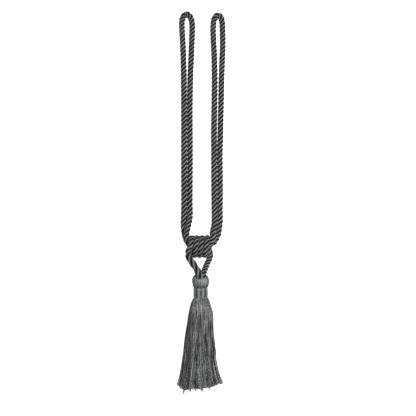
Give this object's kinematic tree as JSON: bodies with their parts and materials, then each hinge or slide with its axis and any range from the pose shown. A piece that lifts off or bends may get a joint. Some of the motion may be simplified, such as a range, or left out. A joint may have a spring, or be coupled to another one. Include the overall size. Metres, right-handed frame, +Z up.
{
  "type": "curtain tieback tassel",
  "caption": "Twisted rope curtain tieback laid out flat, with two hook loops, a wound barrel of cord and one yarn tassel hanging from it.",
  "frame": {"origin": "on the surface that the tie lies on, under the middle of its box", "axes": "+Y along the tie, from the tassel's hem to the two hook loops; +Z up from the surface; +X to the right seen from above with the loops at the top"},
  "size_m": [0.0583, 0.4588, 0.0268],
  "materials": {
    "rope_yarn": "three-ply twisted rope of charcoal yarn, satin fibres with dark grooves",
    "cord_yarn": "three-ply twisted cord of charcoal yarn, satin fibres with dark grooves",
    "tassel_yarn": "loose silky grey yarn with a soft sheen",
    "binding_thread": "fine grey thread wound close, satin"
  },
  "bodies": {
    "root": {"rope_ring": "rope_yarn", "hanger_cord": "cord_yarn", "tassel": "tassel_yarn", "neck_binding": "binding_thread"}
  },
  "joints": []
}
